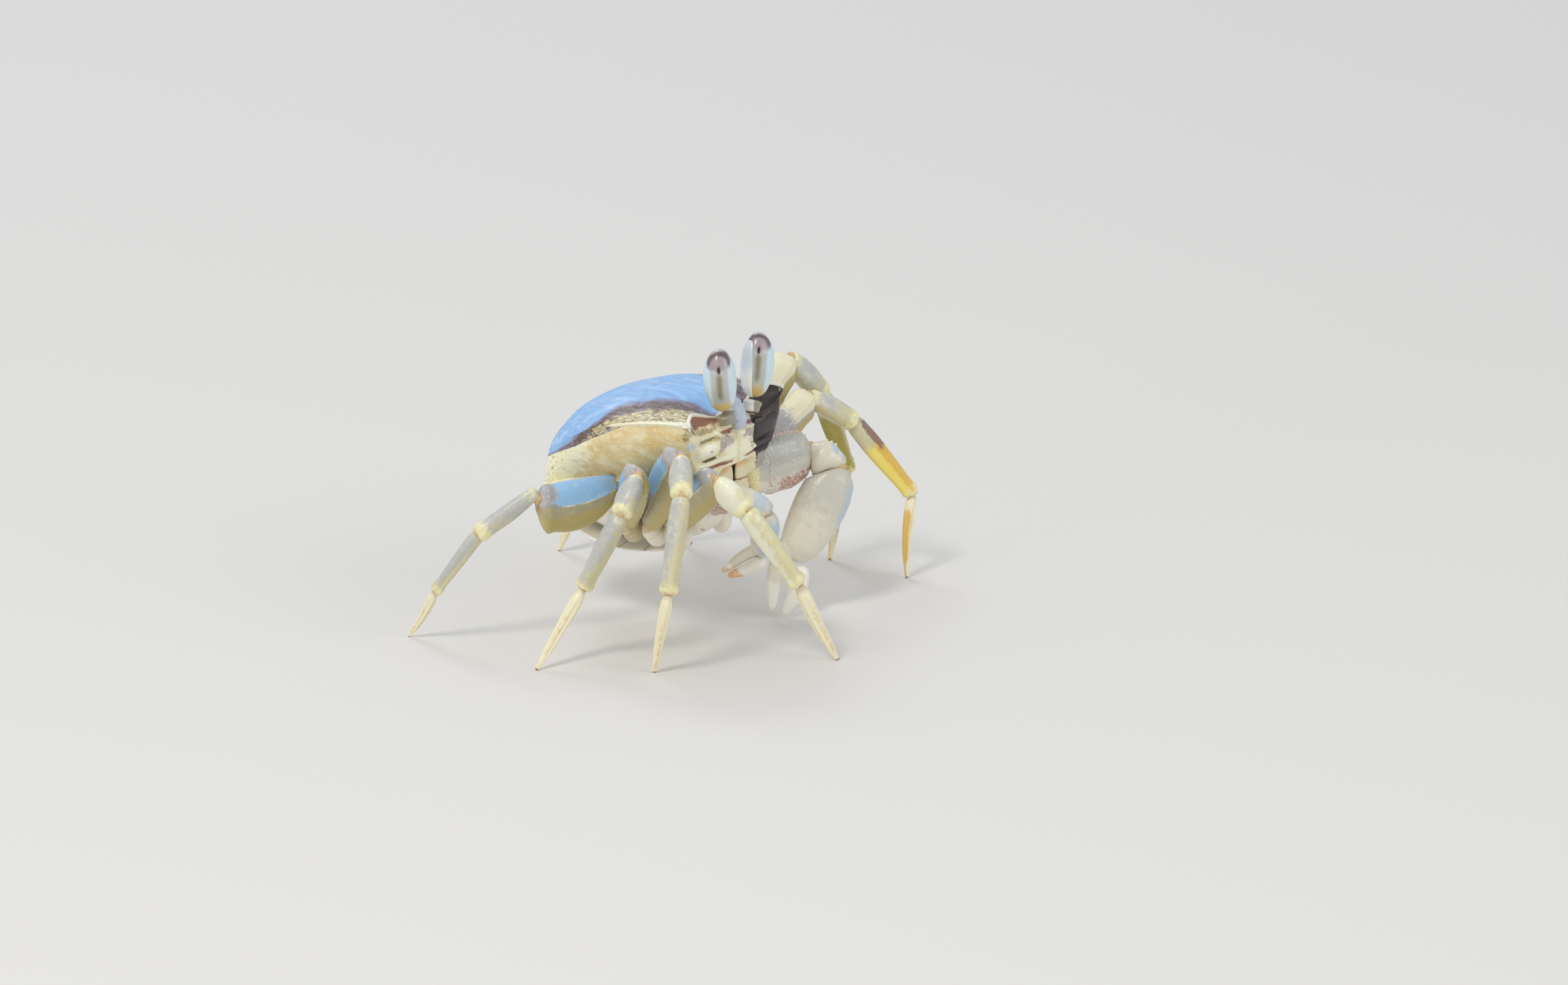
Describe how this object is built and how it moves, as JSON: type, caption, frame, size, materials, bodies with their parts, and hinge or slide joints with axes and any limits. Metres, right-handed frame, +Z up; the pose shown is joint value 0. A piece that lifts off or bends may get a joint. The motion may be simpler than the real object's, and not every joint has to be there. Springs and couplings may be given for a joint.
{
  "type": "ghost crab model",
  "caption": "Life-size still model of a ghost crab standing high on its walking legs, eyes raised on their stalks and both claws hanging in front of the mouth.",
  "frame": {"origin": "on the floor, under the middle of the whole crab's bounding box", "axes": "+Z up; +Y towards the crab's rear, so its face looks along -Y; +X towards its own left side"},
  "size_m": [0.0978, 0.0872, 0.0584],
  "materials": {
    "shell": "grey-lilac shell with a blue sheen, brown mottling and sand-yellow flanks, satin",
    "underside": "creamy white, smooth, satin",
    "leg": "grey-lilac above, cream to yellow below, finely granular, satin",
    "toe": "ivory with amber edges and tip, satin",
    "claw": "creamy white hand with bluish edges, granular arm, satin",
    "stalk": "white with a yellow foot, satin",
    "cornea": "wet-looking grey-blue eye with a dark upright stripe and a brown top, gloss"
  },
  "bodies": {
    "root": {"leg_right_1_hip": "underside", "leg_right_1_merus": "leg", "leg_right_1_carpus": "leg", "leg_right_1_propodus": "leg", "leg_right_1_dactylus": "toe", "leg_right_2_hip": "underside", "leg_right_2_merus": "leg", "leg_right_2_carpus": "leg", "leg_right_2_propodus": "leg", "leg_right_2_dactylus": "toe", "leg_right_3_hip": "underside", "leg_right_3_merus": "leg", "leg_right_3_carpus": "leg", "leg_right_3_propodus": "leg", "leg_right_3_dactylus": "toe", "leg_right_4_hip": "underside", "leg_right_4_merus": "leg", "leg_right_4_carpus": "leg", "leg_right_4_propodus": "leg", "leg_right_4_dactylus": "toe", "leg_left_1_hip": "underside", "leg_left_1_merus": "leg", "leg_left_1_carpus": "leg", "leg_left_1_propodus": "leg", "leg_left_1_dactylus": "toe", "leg_left_2_hip": "underside", "leg_left_2_merus": "leg", "leg_left_2_carpus": "leg", "leg_left_2_propodus": "leg", "leg_left_2_dactylus": "toe", "leg_left_3_hip": "underside", "leg_left_3_merus": "leg", "leg_left_3_carpus": "leg", "leg_left_3_propodus": "leg", "leg_left_3_dactylus": "toe", "leg_left_4_hip": "underside", "leg_left_4_merus": "leg", "leg_left_4_carpus": "leg", "leg_left_4_propodus": "leg", "leg_left_4_dactylus": "toe", "claw_left_hip": "underside", "claw_left_merus": "claw", "claw_left_carpus": "claw", "claw_left_palm": "claw", "claw_left_finger": "claw", "claw_right_hip": "underside", "claw_right_merus": "claw", "claw_right_carpus": "claw", "claw_right_palm": "claw", "claw_right_finger": "claw", "eyestalk_right": "stalk", "eyestalk_left": "stalk", "cornea_right": "cornea", "cornea_left": "cornea", "carapace": "shell", "maxilliped_right": "underside", "maxilliped_left": "underside", "sternum": "underside", "abdomen": "underside"}
  },
  "joints": []
}
